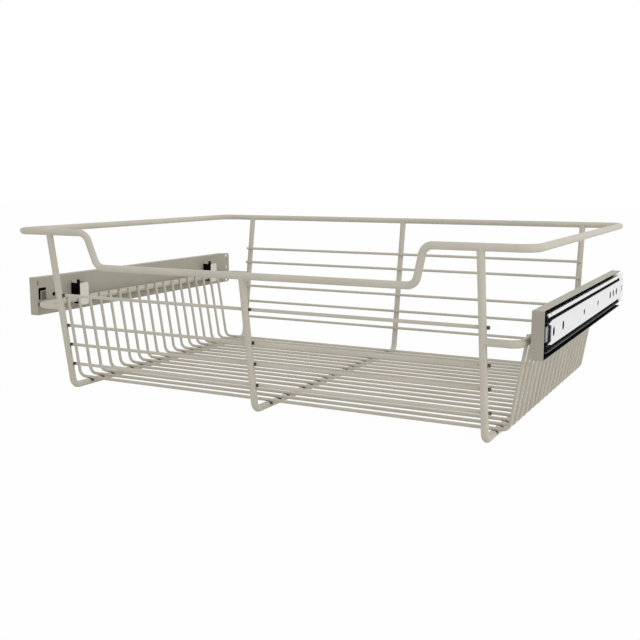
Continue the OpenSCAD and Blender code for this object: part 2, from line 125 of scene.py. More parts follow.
def shells_to_object(name: str, points: np.ndarray) -> bpy.types.Object:
    """Makes one object of many closed shells, each a grid whose end rows are single points.

    The first and the last row of a grid are poles: all their points are the same, so they
    become triangle fans. The other rows are joined by quads.

    Args:
        name: the object's name.
        points: shape (shells, rows, cols, 3), in metres.

    Returns:
        The new object, with outward faces.
    """
    shells, rows, cols, _ = points.shape
    ring_rows = points[:, 1:-1].reshape(shells, -1, 3)
    poles = points[:, [0, -1], 0]
    verts = np.concatenate([ring_rows, poles], axis=1)
    per_shell = verts.shape[1]
    low, high = per_shell - 2, per_shell - 1
    last = (rows - 3) * cols
    j = np.arange(cols)
    k = (j + 1) % cols
    fans = np.concatenate([
        np.stack([k, j, np.full(cols, low)], -1),
        np.stack([last + j, last + k, np.full(cols, high)], -1),
    ])
    offset = (np.arange(shells) * per_shell)[:, None, None]
    all_quads = (tube_faces(rows - 2, cols)[None] + offset).reshape(-1, 4)
    all_fans = (fans[None] + offset).reshape(-1, 3)
    return smooth_object(name, verts.reshape(-1, 3), all_quads.tolist() + all_fans.tolist())


def curve(start: np.ndarray, middle: np.ndarray, end: np.ndarray, rows: int = 6) -> np.ndarray:
    """Rows of points from one ring of points to another, drawn towards a third.

    Formula: (1 - t)^2 start + 2 t (1 - t) middle + t^2 end, with t from 0 to 1.

    Args:
        start: the first ring, shape (cols, 3).
        middle: the ring that the rows are drawn towards.
        end: the last ring.
        rows: the number of rows.

    Returns:
        Points of shape (rows, cols, 3).
    """
    t = np.linspace(0, 1, rows)[:, None, None]
    return (1 - t) ** 2 * start + 2 * t * (1 - t) * middle + t ** 2 * end


def place(local: np.ndarray, origins: np.ndarray, frames: np.ndarray) -> np.ndarray:
    """Puts each of many local shapes at its own place.

    Formula: point = origin + x * frame[0] + y * frame[1] + z * frame[2].

    Args:
        local: shape (places, rows, cols, 3).
        origins: shape (places, 3).
        frames: shape (places, 3, 3), the rows being the local axes.

    Returns:
        Points of shape (places, rows, cols, 3).
    """
    return origins[:, None, None] + np.einsum("nrck,nkd->nrcd", local, frames)


# ---- the node groups --------------------------------------------------------


class Graph:
    """A node tree that is filled in from left to right."""

    ROW = 6
    APART = (190.0, 260.0)

    def __init__(self, tree: bpy.types.NodeTree) -> None:
        """Keeps the tree and counts its nodes for their places."""
        self.tree = tree
        self.count = 0

    def add(self, kind: str, inputs: dict | None = None, **props: object) -> bpy.types.Node:
        """Adds a node.

        Args:
            kind: the node's type, such as ShaderNodeMath.
            inputs: a value or an output socket for each named or numbered input.
            props: attributes of the node.

        Returns:
            The new node.
        """
        node = self.tree.nodes.new(kind)
        node.location = (self.count % self.ROW * self.APART[0],
                         -(self.count // self.ROW) * self.APART[1])
        self.count += 1
        for key, value in props.items():
            setattr(node, key, value)
        for key, value in (inputs or {}).items():
            self.feed(node.inputs[key], value)
        return node

    def feed(self, socket: bpy.types.NodeSocket, value: object) -> None:
        """Links an output socket to an input, or sets the input's value."""
        if isinstance(value, bpy.types.NodeSocket):
            self.tree.links.new(value, socket)
        else:
            socket.default_value = value

    def math(self, operation: str, *values: object, clamp: bool = False) -> object:
        """Adds a Math node and returns its output."""
        node = self.add("ShaderNodeMath", dict(enumerate(values)), operation=operation)
        node.use_clamp = clamp
        return node.outputs[0]

    def vector(self, operation: str, *values: object) -> object:
        """Adds a Vector Math node and returns its vector output."""
        node = self.add("ShaderNodeVectorMath", dict(enumerate(values)), operation=operation)
        return node.outputs["Vector"]

    def noise(self, where: object, scale: object, detail: float,
              roughness: float = 0.5) -> object:
        """Adds a Noise Texture and returns its factor, from 0 to 1."""
        node = self.add("ShaderNodeTexNoise", {
            "Vector": where, "Scale": scale, "Detail": detail, "Roughness": roughness})
        return node.outputs["Fac"]

    def span(self, value: object, low: object, high: object) -> object:
        """Adds a Map Range node that rises smoothly from 0 to 1, and returns its result."""
        node = self.add("ShaderNodeMapRange", {
            "Value": value, "From Min": low, "From Max": high},
            interpolation_type="SMOOTHSTEP")
        return node.outputs["Result"]

    def mix(self, factor: object, a: object, b: object) -> object:
        """Adds a colour Mix node and returns its result."""
        node = self.add("ShaderNodeMix", data_type="RGBA")
        self.feed(node.inputs["Factor"], factor)
        colours = [s for s in node.inputs if s.type == "RGBA"]
        self.feed(colours[0], a)
        self.feed(colours[1], b)
        return next(s for s in node.outputs if s.type == "RGBA")


SOCKETS = {float: "NodeSocketFloat", tuple: "NodeSocketColor", Vector: "NodeSocketVector"}


def new_group(name: str, inputs: dict, outputs: dict) -> tuple[Graph, dict, dict]:
    """Starts a shader node group.

    Args:
        name: the group's name.
        inputs: a default value for each input; its type gives the socket's type.
        outputs: a value of the wanted type for each output.

    Returns:
        The group's graph, its input sockets and its output sockets, by name.
    """
    tree = bpy.data.node_groups.new(name, "ShaderNodeTree")
    for label, value in inputs.items():
        socket = tree.interface.new_socket(
            name=label, in_out="INPUT", socket_type=SOCKETS[type(value)])
        socket.default_value = value
    for label, value in outputs.items():
        tree.interface.new_socket(
            name=label, in_out="OUTPUT", socket_type=SOCKETS[type(value)])
    graph = Graph(tree)
    source = graph.add("NodeGroupInput")
    target = graph.add("NodeGroupOutput")
    return graph, dict(source.outputs.items()), dict(target.inputs.items())


def finish_group(name: str, own: dict) -> tuple[Graph, dict, dict]:
    """Starts a node group with the inputs and outputs that every finish has.

    Args:
        name: the group's name.
        own: further inputs and their values, with Roughness spread among them.

    Returns:
        What new_group returns.
    """
    shared = {"Vector": Vector((0, 0, 0)), "Light": (0.8, 0.8, 0.8, 1.0),
              "Dark": (0.7, 0.7, 0.7, 1.0), "Roughness": 0.4}
    return new_group(name, {**shared, **own},
                     {"Color": (0.0,) * 4, "Roughness": 0.0, "Height": 0.0})


def feed_finish(graph: Graph, given: dict, result: dict, first: object, second: object,
                share: float, height: object) -> None:
    """Feeds the outputs of a finish group from its noises.

    Formula: tone = share * first + (1 - share) * second, and the colour goes from Dark to
    Light as the tone goes from 0.3 to 0.7; roughness = Roughness + spread (height - 0.5).

    Args:
        graph: the group's graph.
        given: its input sockets.
        result: its output sockets.
        first: one noise of the tone.
        second: the other one.
        share: how much the first one counts.
        height: the surface's relief, from 0 to 1.
    """
    tone = graph.math("ADD", graph.math("MULTIPLY", first, share),
                      graph.math("MULTIPLY", second, 1.0 - share))
    spread = graph.math("MULTIPLY", graph.math("SUBTRACT", height, 0.5),
                        given["Roughness spread"])
    graph.feed(result["Color"], graph.mix(graph.span(tone, 0.3, 0.7), given["Dark"],
                                          given["Light"]))
    graph.feed(result["Roughness"], graph.math("ADD", given["Roughness"], spread))
    graph.feed(result["Height"], height)


def coat_grain_group() -> bpy.types.NodeTree:
    """The grain of sprayed and baked paint.

    Tone drifts slowly between a light and a dark colour, fine pigment specks add to it, and
    the surface has the soft waves called orange peel.

    Returns:
        A group with the outputs Color, Roughness and Height.
    """
    specks_per_wave = 3.1
    graph, given, result = finish_group("coat_grain", {
        "Peel per m": 900.0, "Drift per m": 14.0, "Roughness spread": 0.06})
    drift = graph.noise(given["Vector"], given["Drift per m"], 3.0)
    speck = graph.noise(given["Vector"],
                        graph.math("MULTIPLY", given["Peel per m"], specks_per_wave), 1.0)
    peel = graph.noise(given["Vector"], given["Peel per m"], 1.0, 0.4)
    feed_finish(graph, given, result, drift, speck, 0.7, peel)
    return graph.tree


def rolled_sheet_group() -> bpy.types.NodeTree:
    """The streaks that rolling leaves in plated sheet, along Y.

    The pattern is noise on coordinates pressed together along the rolling direction, so its
    cells come out as long streaks. A slower noise adds the plating's bloom.

    Returns:
        A group with the outputs Color, Roughness and Height.
    """
    blooms_per_m = 60.0
    graph, given, result = finish_group("rolled_sheet", {
        "Streaks per m": 1500.0, "Stretch": 0.02, "Roughness spread": 0.1})
    press = graph.add("ShaderNodeCombineXYZ", {"X": 1.0, "Y": given["Stretch"], "Z": 1.0})
    pressed = graph.vector("MULTIPLY", given["Vector"], press.outputs[0])
    streak = graph.noise(pressed, given["Streaks per m"], 3.0, 0.6)
    bloom = graph.noise(given["Vector"], blooms_per_m, 2.0)
    feed_finish(graph, given, result, streak, bloom, 0.6, streak)
    return graph.tree


def box_mask_group() -> bpy.types.NodeTree:
    """A mask that is 1 inside a box and 0 outside, mirrored in the plane X = 0.

    Formula: the least of (|x|, y, z) - low and high - (|x|, y, z), over all three axes,
    turned into a step of the width Soft at zero.

    Returns:
        A group with the output Mask.
    """
    graph, given, result = new_group(
        "box_mask",
        {"Vector": Vector((0, 0, 0)), "Low": Vector((-1, -1, -1)), "High": Vector((1, 1, 1)),
         "Soft": 0.0002},
        {"Mask": 0.0})
    split = graph.add("ShaderNodeSeparateXYZ", {0: given["Vector"]})
    folded = graph.add("ShaderNodeCombineXYZ", {
        "X": graph.math("ABSOLUTE", split.outputs["X"]), "Y": split.outputs["Y"],
        "Z": split.outputs["Z"]})
    above = graph.vector("SUBTRACT", folded.outputs[0], given["Low"])
    below = graph.vector("SUBTRACT", given["High"], folded.outputs[0])
    least = graph.add("ShaderNodeSeparateXYZ", {0: graph.vector("MINIMUM", above, below)})
    inside = graph.math("MINIMUM", graph.math(
        "MINIMUM", least.outputs["X"], least.outputs["Y"]), least.outputs["Z"])
    graph.feed(result["Mask"], graph.span(
        inside, graph.math("MULTIPLY", given["Soft"], -0.5),
        graph.math("MULTIPLY", given["Soft"], 0.5)))
    return graph.tree


class Groups:
    """The shared node groups, each built once."""

    def __init__(self) -> None:
        """Builds all of them."""
        self.coat_grain = coat_grain_group()
        self.rolled_sheet = rolled_sheet_group()
        self.box_mask = box_mask_group()


# ---- the finishes -----------------------------------------------------------

Rgb = tuple[float, float, float]


def linear(rgb: Rgb) -> tuple[float, float, float, float]:
    """Turns an 8-bit screen colour into a linear one.

    Args:
        rgb: the colour, each part from 0 to 255.

    Returns:
        Red, green, blue and an alpha of 1.
    """
    parts = [c / 255 for c in rgb]
    return (*(c / 12.92 if c <= 0.04045 else ((c + 0.055) / 1.055) ** 2.4 for c in parts), 1.0)


def new_material(name: str) -> tuple[bpy.types.Material, Graph]:
    """Makes a material with an empty node tree.

    Args:
        name: the material's name.

    Returns:
        The material and the graph that fills it.
    """
    material = bpy.data.materials.new(name)
    material.use_nodes = True
    material.node_tree.nodes.clear()
    return material, Graph(material.node_tree)


@dataclass(frozen=True)
class Shade:
    """A box in which a finish has another, painted tone: painted shade in hollows, grooves and
    slot walls, a painted reflection of dark on a lower lip, and painted light on a tongue.

    With folded set, z counts up and down from the slide's middle, so one box serves both
    edges of a slide. A metallic value of 1 with a black tone takes every reflection away.
    """

    low: Vector
    high: Vector
    folded: bool = False
    rgb: Rgb = (1.0, 1.0, 1.0)
    metallic: float = 1.0
    soft: float = 0.06 * MM


@dataclass
class Tone:
    """The sockets or values of a shader's colour, roughness, metallic and coat weight."""

    colour: object
    rough: object
    metallic: object
    coat: object


def shaded(graph: Graph, groups: Groups, where: object, shades: tuple[Shade, ...],
           tone: Tone) -> Tone:
    """Lays some shades over a tone, one after another.

    Formula: with m the mask of a shade's box, each value v becomes v + m (w - v), w being
    the shade's own value; roughness goes to 1 and the clear coat to 0.

    Args:
        graph: the material's graph.
        groups: the shared node groups.
        where: the Object coordinate.
        shades: the boxes and their tones.
        tone: what lies under the shades.

    Returns:
        The tone with the shades on it.
    """
    if not shades:
        return tone
    parts = graph.add("ShaderNodeSeparateXYZ", {0: where})
    rise = graph.math("ABSOLUTE", graph.math(
        "SUBTRACT", parts.outputs["Z"], SlideSizes.middle_z))
    folded = graph.add("ShaderNodeCombineXYZ", {
        "X": parts.outputs["X"], "Y": parts.outputs["Y"], "Z": rise}).outputs[0]
    colour, rough, metallic, coat = tone.colour, tone.rough, tone.metallic, tone.coat
    for shade in shades:
        box = graph.add("ShaderNodeGroup", node_tree=groups.box_mask)
        for label, value in {"Vector": folded if shade.folded else where, "Low": shade.low,
                             "High": shade.high, "Soft": shade.soft}.items():
            graph.feed(box.inputs[label], value)
        mask = box.outputs["Mask"]
        bare = graph.math("SUBTRACT", 1.0, mask)
        colour = graph.mix(mask, colour, linear(shade.rgb))
        rough = graph.math("ADD", rough, mask, clamp=True)
        metallic = graph.math("ADD", graph.math("MULTIPLY", bare, metallic),
                              graph.math("MULTIPLY", mask, shade.metallic))
        coat = graph.math("MULTIPLY", bare, coat)
    return Tone(colour, rough, metallic, coat)


@dataclass(frozen=True)
class Finish:
    """What every finish has: two tones, shades, a clear coat, a gloss and a relief."""

    name: str
    light: Rgb
    dark: Rgb
    roughness: float = 0.4
    shades: tuple[Shade, ...] = ()
    metallic: float = 0.0
    coat: float = 0.0
    coat_roughness: float = 0.03
    specular: float = 0.5
    bump_strength: float = 0.2
    bump_height: float = 0.01 * MM

    def group(self, groups: Groups) -> tuple[bpy.types.NodeTree, dict]:
        """The finish's node group, and the inputs that only this kind of finish has."""
        raise NotImplementedError

    def build(self, groups: Groups) -> bpy.types.Material:
        """Makes the material: the finish's group, with the shades and the bump over it.

        Args:
            groups: the shared node groups.

        Returns:
            The material.
        """
        material, graph = new_material(self.name)
        where = graph.add("ShaderNodeTexCoord").outputs["Object"]
        shader = graph.add("ShaderNodeBsdfPrincipled")
        graph.add("ShaderNodeOutputMaterial", {"Surface": shader.outputs[0]})
        tree, own = self.group(groups)
        node = graph.add("ShaderNodeGroup", node_tree=tree)
        for label, value in {
                "Vector": where, "Light": linear(self.light), "Dark": linear(self.dark),
                "Roughness": self.roughness, **own}.items():
            graph.feed(node.inputs[label], value)
        base = Tone(node.outputs["Color"], node.outputs["Roughness"], self.metallic, self.coat)
        tone = shaded(graph, groups, where, self.shades, base)
        for label, value in {"Base Color": tone.colour, "Roughness": tone.rough,
                             "Metallic": tone.metallic, "Coat Weight": tone.coat}.items():
            graph.feed(shader.inputs[label], value)
        shader.inputs["Coat Roughness"].default_value = self.coat_roughness
        shader.inputs["Specular IOR Level"].default_value = self.specular
        bump = graph.add("ShaderNodeBump", {
            "Strength": self.bump_strength, "Distance": self.bump_height,
            "Height": node.outputs["Height"]})
        graph.feed(shader.inputs["Normal"], bump.outputs[0])
        return material


@dataclass(frozen=True)
class PaintFinish(Finish):
    """Baked paint or powder coat on steel, with its grain."""

    roughness: float = 0.42
    coat: float = 0.03
    coat_roughness: float = 0.25
    specular: float = 0.16
    bump_strength: float = 0.35
    bump_height: float = 0.03 * MM
    peel_per_m: float = 900.0

    def group(self, groups: Groups) -> tuple[bpy.types.NodeTree, dict]:
        """The grain of paint, at this paint's fineness."""
        return groups.coat_grain, {"Peel per m": self.peel_per_m}


@dataclass(frozen=True)
class PlatedSheet(Finish):
    """Zinc-plated or bare rolled steel sheet, with its streaks."""

    roughness: float = 0.28
    metallic: float = 1.0

    def group(self, groups: Groups) -> tuple[bpy.types.NodeTree, dict]:
        """The streaks of rolled sheet."""
        return groups.rolled_sheet, {}


# ---- the wire basket --------------------------------------------------------


@dataclass
class WireBasket:
    """The welded basket: where its wires run, how thick they are, its weld fillets, and the
    films of painted shade where wires cross.

    The solid radii are those of the carried-over wires, which set where two wires touch.
    frame_r and grid_r are the radii that are drawn.
    """

    frame_r: float = 3.7 * MM
    grid_r: float = 1.8 * MM
    solid_frame_r: float = 3.2 * MM
    solid_grid_r: float = 1.6 * MM
    weld_sink: float = 0.15 * MM
    bend_swell: float = 0.1 * MM
    rim_half_y: float = 215.9 * MM
    rim_z: float = 183.4 * MM
    foot_half_y: float = 186.3 * MM
    rib_x: float = 247.0 * MM
    dip_drop: float = 37.7 * MM
    cross_count: int = 18
    cross_pitch: float = 18.7 * MM
    front_z: tuple[float, ...] = (0.1108, 0.0754, 0.0528, 0.0295)
    rear_z: tuple[float, ...] = (0.137, 0.1165, 0.081, 0.0584, 0.0352)
    front_overrun: float = 4.0 * MM
    rear_overrun: float = 3.2 * MM
    rail_z: float = 98.0 * MM
    rail_x: float = 281.0 * MM
    body: str = "basket"
    seed: int = 7
    around: int = 28
    bead_gap: float = 0.8 * MM
    bead_edge: float = 0.94
    sunk: float = 0.03 * MM
    joint_width: float = 1.1 * MM
    joint_skin: float = 0.02 * MM
    # the films of painted shade where wires cross
    shade_film_reach: float = 1.4 * MM
    shade_film_lift: float = 0.05 * MM
    shade_film_sunk: float = 0.07 * MM
    shade_film_full: float = math.radians(80)
    shade_film_fade: float = math.radians(30)
    crease: float = math.radians(40)
    ground: float = 0.05 * MM
    undarkened: tuple[str, ...] = ("rear_post_fillets", "frame_joint_fillets", "wire_end_caps")

    @property
    def lean(self) -> float:
        """How far the walls lean out for each unit of height."""
        return (self.rim_half_y - self.foot_half_y) / self.rim_z

    @property
    def step(self) -> float:
        """Distance between the centres of a thin and a heavy wire where they are welded."""
        return self.solid_frame_r + self.solid_grid_r - self.weld_sink

    @property
    def rib_xs(self) -> np.ndarray:
        """The X of the three ribs."""
        return np.array([-self.rib_x, 0.0, self.rib_x])

    @property
    def cross_ys(self) -> np.ndarray:
        """The Y of the cross wires."""
        return (np.arange(self.cross_count) - (self.cross_count - 1) / 2) * self.cross_pitch

    @property
    def angles(self) -> np.ndarray:
        """The angles of the points round a shell."""
        return np.linspace(0, 2 * math.pi, self.around, endpoint=False)

    def pole(self, z: float) -> np.ndarray:
        """A shell's end row: one point on the axis, at height z."""
        return np.broadcast_to([0.0, 0.0, z], (1, self.around, 3))

    def post_y(self, z: np.ndarray | float) -> np.ndarray | float:
        """The Y of a rear post's centre at height z."""
        return self.foot_half_y + self.lean * z

    def floor_crossings(self) -> tuple[np.ndarray, np.ndarray]:
        """Where the cross wires lie on the ribs.

        Returns:
            The cross wires' centres, (n, 3), and frames, (n, 3, 3): along the heavy wire,
            along the thin wire, and from the heavy to the thin one.
        """
        y, x = np.meshgrid(self.cross_ys, self.rib_xs, indexing="ij")
        z = np.full_like(x, self.solid_frame_r + self.bend_swell / 2 + self.step)
        centres = np.stack([x, y, z], -1).reshape(-1, 3)
        axes = np.array([[0.0, 1, 0], [-1, 0, 0], [0, 0, 1]])
        return centres, np.broadcast_to(axes, (len(centres), 3, 3))

    def rail_crossings(self) -> tuple[np.ndarray, np.ndarray]:
        """Where the cross wires' upright ends lie against the side rails.

        Returns:
            Centres and frames, as floor_crossings does.
        """
        centres, frames = [], []
        for side in Side:
            s = side.value
            up = unit(np.array([s * self.lean, 0.0, 1.0]))
            inward = unit(np.array([-s, 0.0, self.lean]))
            along = np.cross(up, inward)
            rail = np.stack([np.full(self.cross_count, s * self.rail_x), self.cross_ys,
                             np.full(self.cross_count, self.rail_z)], -1)
            centres.append(rail + inward * self.step)
            frames.append(np.broadcast_to(np.stack([along, up, inward]),
                                          (self.cross_count, 3, 3)))
        return np.concatenate(centres), np.concatenate(frames)

    def post_crossings(self, facing: Facing) -> tuple[np.ndarray, np.ndarray]:
        """Where the level wires of the front or the back lie against the posts.

        Args:
            facing: which of the two.

        Returns:
            Centres and frames, as floor_crossings does.
        """
        f = facing.value
        heights = self.front_z if facing is Facing.FRONT else self.rear_z
        up = unit(np.array([0.0, f * self.lean, 1.0]))
        inward = unit(np.array([0.0, -f, self.lean]))
        along = np.cross(up, inward)
        z, x = np.meshgrid(np.array(heights), self.rib_xs, indexing="ij")
        y = f * (self.post_y(z) - self.step * math.hypot(1.0, self.lean))
        centres = np.stack([x, y, z], -1).reshape(-1, 3)
        axes = np.stack([up, -along, inward])
        return centres, np.broadcast_to(axes, (len(centres), 3, 3))

    def crossing_fillet(self) -> np.ndarray:
        """The fillet that paint and weld leave round two crossing wires.

        In the frame whose x runs along the heavy wire, y along the thin one and z from the
        heavy to the thin one, with the thin wire's centre at the origin, the heavy wire's
        surface is at z = sqrt(a^2 - y^2) - step and the thin one's at z = -sqrt(b^2 - x^2),
        a and b being the wires' radii. At each angle p about z the fillet's edge lies at
        the least distance at which the gap between them is bead_gap, or near the edge of
        the narrower wire. From one surface to the other it follows a quadratic curve whose
        middle point is drawn in towards the weld.

        Returns:
            Points of one closed shell, shape (rows, cols, 3).
        """
        a, b = self.frame_r, self.grid_r
        c, s = np.cos(self.angles), np.sin(self.angles)
        edge = self.bead_edge * np.minimum(b / np.maximum(np.abs(c), TINY),
                                           a / np.maximum(np.abs(s), TINY))
        tries = np.linspace(0, 1, 200)[:, None] * edge
        gap = (self.step - np.sqrt(b ** 2 - (tries * c) ** 2)
               - np.sqrt(a ** 2 - (tries * s) ** 2))
        wide = gap >= self.bead_gap
        first = np.where(wide.any(axis=0), wide.argmax(axis=0), len(tries) - 1)
        reach = tries[first, np.arange(self.around)]
        heavy_z = np.sqrt(a ** 2 - (reach * s) ** 2) - self.step
        thin_z = -np.sqrt(b ** 2 - (reach * c) ** 2)
        start = np.stack([reach * c, reach * s, heavy_z - self.sunk], -1)
        end = np.stack([reach * c, reach * s, thin_z + self.sunk], -1)
        middle = np.stack([0.5 * reach * c, 0.5 * reach * s, (heavy_z + thin_z) / 2], -1)
        return np.concatenate([self.pole(-b - 0.8 * MM), curve(start, middle, end),
                               self.pole(-0.3 * b)])

    def painted_shade_film(self, radius: float, half: float, across: bool) -> np.ndarray:
        """A dark film of painted shade on the side of a wire that faces the other one, where
        the crossing wires shade each other.

        In crossing_fillet's frame, with t the angle round the wire from the side that faces
        the weld and q from -1 to 1 along it, the radius is r + 0.05 mm up to t = 80 degrees
        and falls to r - 0.07 mm at 110 degrees, where the film ends. Along the wire the
        film is half * q long and ends in the wire's axis.

        Args:
            radius: the wire's radius.
            half: how far the film reaches from the weld, along the wire.
            across: whether the wire is the thin one, which runs along y.

        Returns:
            Points of one closed shell, shape (rows, cols, 3).
        """
        t = np.linspace(-math.pi, math.pi, self.around, endpoint=False)
        fade = np.clip((np.abs(t) - self.shade_film_full) / self.shade_film_fade, 0, 1)
        skin = radius + self.shade_film_lift - (self.shade_film_lift + self.shade_film_sunk) * fade
        q = np.array([-1.0, -0.97, -0.5, 0.0, 0.5, 0.97, 1.0])[:, None]
        long = np.broadcast_to(half * q, (len(q), self.around))
        wide = np.broadcast_to(skin * np.sin(t), long.shape)
        deep = np.broadcast_to(skin * np.cos(t), long.shape)
        rows = (np.stack([wide, long, -deep], -1) if across
                else np.stack([long, wide, deep - self.step], -1))
        poles = np.zeros((2, self.around, 3))
        poles[:, :, 1 if across else 0] = np.array([-half, half])[:, None]
        poles[:, :, 2] = 0.0 if across else -self.step
        return np.concatenate([poles[:1], rows, poles[1:]])

    def end_joints(self) -> tuple[np.ndarray, np.ndarray]:
        """Where a heavy wire ends on another: posts under the rim, side rails on posts.

        Returns:
            The through wire's centre points, (n, 3), and frames, (n, 3, 3): along the
            through wire, square to both, and along the ending wire towards the joint.
        """
        x_axis = np.array([1.0, 0, 0])
        centres, frames = [], []
        dip_z = self.rim_z - self.dip_drop
        for facing in Facing:
            f = facing.value
            up = unit(np.array([0.0, f * self.lean, 1.0]))
            for x in self.rib_xs:
                z = dip_z if facing is Facing.FRONT and x == 0 else self.rim_z
                centres.append([x, f * self.post_y(z), z])
                frames.append(np.stack([x_axis, np.cross(up, x_axis), up]))
            for side in Side:
                inward = -side.value * x_axis
                centres.append([side.value * self.rib_x, f * self.post_y(self.rail_z),
                                self.rail_z])
                frames.append(np.stack([up, np.cross(inward, up), inward]))
        return np.array(centres), np.array(frames)

    def joint_fillet(self) -> np.ndarray:
        """The fillet round the end of a wire that is coped to another of the same size.

        With p the angle about the ending wire and r the radius of both, the corner between
        them is at (r cos p, r sin p, -r |cos p|). The fillet is joint_width * cos^2 p wide:
        it starts that far down the ending wire, ends that far out on the through wire, and
        between them follows the quadratic curve whose middle point is that corner.

        Returns:
            Points of one closed shell, shape (rows, cols, 3).
        """
        r = self.frame_r
        c, s = np.cos(self.angles), np.sin(self.angles)
        wide = self.joint_width * c ** 2 + self.joint_skin
        skin, inside = r + self.joint_skin, r - self.sunk
        corner = np.stack([skin * c, skin * s, -r * np.abs(c)], -1)
        start = np.stack([inside * c, inside * s, -r * np.abs(c) - wide], -1)
        out = np.minimum(r + wide, 0.995 * r / np.maximum(np.abs(s), TINY))
        drop = np.sqrt(np.maximum(r ** 2 - (out * s) ** 2, 0)) - self.sunk
        end = np.stack([out * c, out * s, -drop], -1)
        return np.concatenate([self.pole(-1.6 * r), curve(start, corner, end),
                               self.pole(-0.2 * r)])

    def wire_ends(self) -> tuple[np.ndarray, np.ndarray]:
        """The free ends of the thin wires.

        Returns:
            The end points, (n, 3), and frames, (n, 3, 3), whose last axis points out.
        """
        points, outs = [], []
        for facing, heights, overrun in (
                (Facing.FRONT, self.front_z, self.front_overrun),
                (Facing.REAR, self.rear_z, self.rear_overrun)):
            for z in heights:
                y = facing.value * (self.post_y(z) - self.step * math.hypot(1.0, self.lean))
                for side in Side:
                    points.append([side.value * (self.rib_x + overrun), y, z])
                    outs.append([side.value, 0.0, 0.0])
        above = 2 * MM
        top_z = self.rail_z + above
        top_x = self.rail_x - self.step * math.hypot(1.0, self.lean) + self.lean * above
        for y in self.cross_ys:
            for side in Side:
                points.append([side.value * top_x, y, top_z])
                outs.append([side.value * self.lean, 0.0, 1.0])
        out = unit(np.array(outs))
        first = unit(np.cross(out, np.array([0.0, 1.0, 0.0])))
        return np.array(points), np.stack([first, np.cross(out, first), out], 1)

    def end_cap(self) -> np.ndarray:
        """The rounded coating on a cut wire end.

        Formula: radius = 1.03 r (1 - q^4)^(1/2) and height = 0.3 r q, q running from 0 at
        the wire's skin to 1 at the pole; a short sleeve ties it to the wire.

        Returns:
            Points of one closed shell, shape (rows, cols, 3).
        """
        p = self.angles
        q = np.sin(np.linspace(0, math.pi / 2, 6))[:-1]
        radius = np.concatenate([[0.985, 1.02], 1.03 * np.sqrt(1 - q ** 4)]) * self.grid_r
        height = np.concatenate([[-0.6, -0.25], 0.3 * q]) * self.grid_r
        rows = np.stack([radius[:, None] * np.cos(p), radius[:, None] * np.sin(p),
                         np.broadcast_to(height[:, None], (len(radius), len(p)))], -1)
        return np.concatenate([self.pole(-0.7 * self.grid_r), rows,
                               self.pole(0.3 * self.grid_r)])

    def varied(self, local: np.ndarray, count: int, spread: float) -> np.ndarray:
        """Copies of a shape, each a little wider or narrower than it.

        Args:
            local: shape (rows, cols, 3).
            count: the number of copies.
            spread: the greatest change in width, as a fraction.

        Returns:
            Shape (count, rows, cols, 3).
        """
        size = 1 + spread * np.random.default_rng(self.seed).uniform(-1, 0.3, count)
        scale = np.ones((count, 1, 1, 3))
        scale[..., 0] = scale[..., 1] = size[:, None, None]
        return local[None] * scale

    def thick_wire(self, name: str, solid: bpy.types.Mesh, gain: float) -> bpy.types.Object:
        """Draws a wire at the thickness that the photograph shows.

        Formula: p + gain * n for each point p of the solid, n being the sum of the area
        vectors of the triangles that meet there, scaled to length 1. No point goes under
        the floor.

        Args:
            name: the new piece's name.
            solid: the carried-over wire.
            gain: how much its radius grows.

        Returns:
            The new piece, with welded points and smooth shading.
        """
        flat = np.empty(len(solid.vertices) * 3)
        solid.vertices.foreach_get("co", flat)
        solid.calc_loop_triangles()
        corners = np.empty(len(solid.loop_triangles) * 3, dtype=np.int32)
        solid.loop_triangles.foreach_get("vertices", corners)
        points, merged = np.unique(flat.reshape(-1, 3).round(7), axis=0, return_inverse=True)
        faces = merged.reshape(-1)[corners].reshape(-1, 3)
        a, b, c = points[faces].transpose(1, 0, 2)
        area = np.cross(b - a, c - a)
        real = np.linalg.norm(area, axis=1) > 0
        faces, area = faces[real], area[real]
        total = np.zeros_like(points)
        for corner in faces.T:
            np.add.at(total, corner, area)
        moved = points + gain * unit(total)
        moved[:, 2] = np.maximum(moved[:, 2], 0.0)
        piece = smooth_object(name, moved, faces.tolist())
        piece.data.set_sharp_from_angle(angle=self.crease)
        return piece

    def thick_wires(self, coat: bpy.types.Material) -> list[bpy.types.Object]:
        """Puts a thicker wire in the place of each carried-over one.

        Args:
            coat: the basket's powder coat.

        Returns:
            The new pieces, one for each wire.
        """
        pieces = []
        for part in frame["record"]["subparts"]:
            node = part["node"]
            if part["material_slot"] != "powder_coat":
                continue
            heavy = node.startswith(("rim", "rib", "side_rail"))
            gain = (self.frame_r - self.solid_frame_r if heavy
                    else self.grid_r - self.solid_grid_r)
            piece = self.thick_wire(f"{node}_full", frame["nodes"][node].data, gain)
            piece.data.materials.append(coat)
            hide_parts(node)
            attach(piece, self.body)
            pieces.append(piece)
        log.info("%d wires at full thickness", len(pieces))
        return pieces

